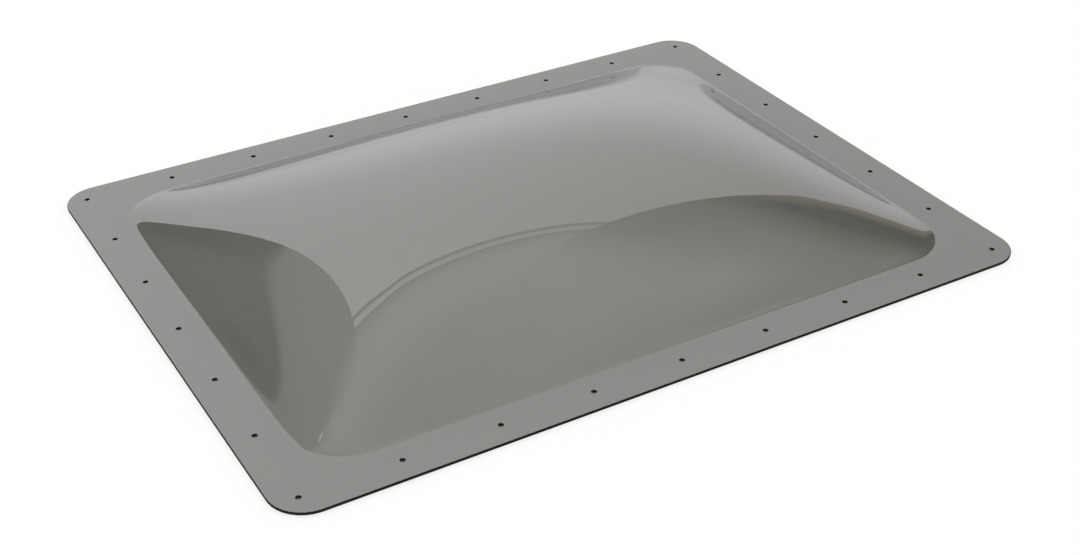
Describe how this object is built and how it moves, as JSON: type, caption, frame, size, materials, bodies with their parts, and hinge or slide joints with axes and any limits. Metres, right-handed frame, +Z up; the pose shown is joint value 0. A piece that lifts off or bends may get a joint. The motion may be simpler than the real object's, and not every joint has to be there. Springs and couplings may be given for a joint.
{
  "type": "rv skylight",
  "caption": "Smoked pillow dome for a caravan roof opening, moulded in one with a flat flange drilled for screws all round, on strips of sealing tape",
  "frame": {"origin": "middle of the face that lies on the roof, the underside of the tape", "axes": "+X along the long side to the right, +Y along the short side to the back, +Z up out of the roof"},
  "size_m": [0.8636, 0.6604, 0.0888],
  "materials": {
    "smoked_sheet": "clear smoked, high gloss",
    "sealing_tape": "matte, soft"
  },
  "bodies": {
    "root": {"outer_dome": "smoked_sheet", "tape_front": "sealing_tape", "tape_back": "sealing_tape", "tape_left": "sealing_tape", "tape_right": "sealing_tape"}
  },
  "joints": []
}
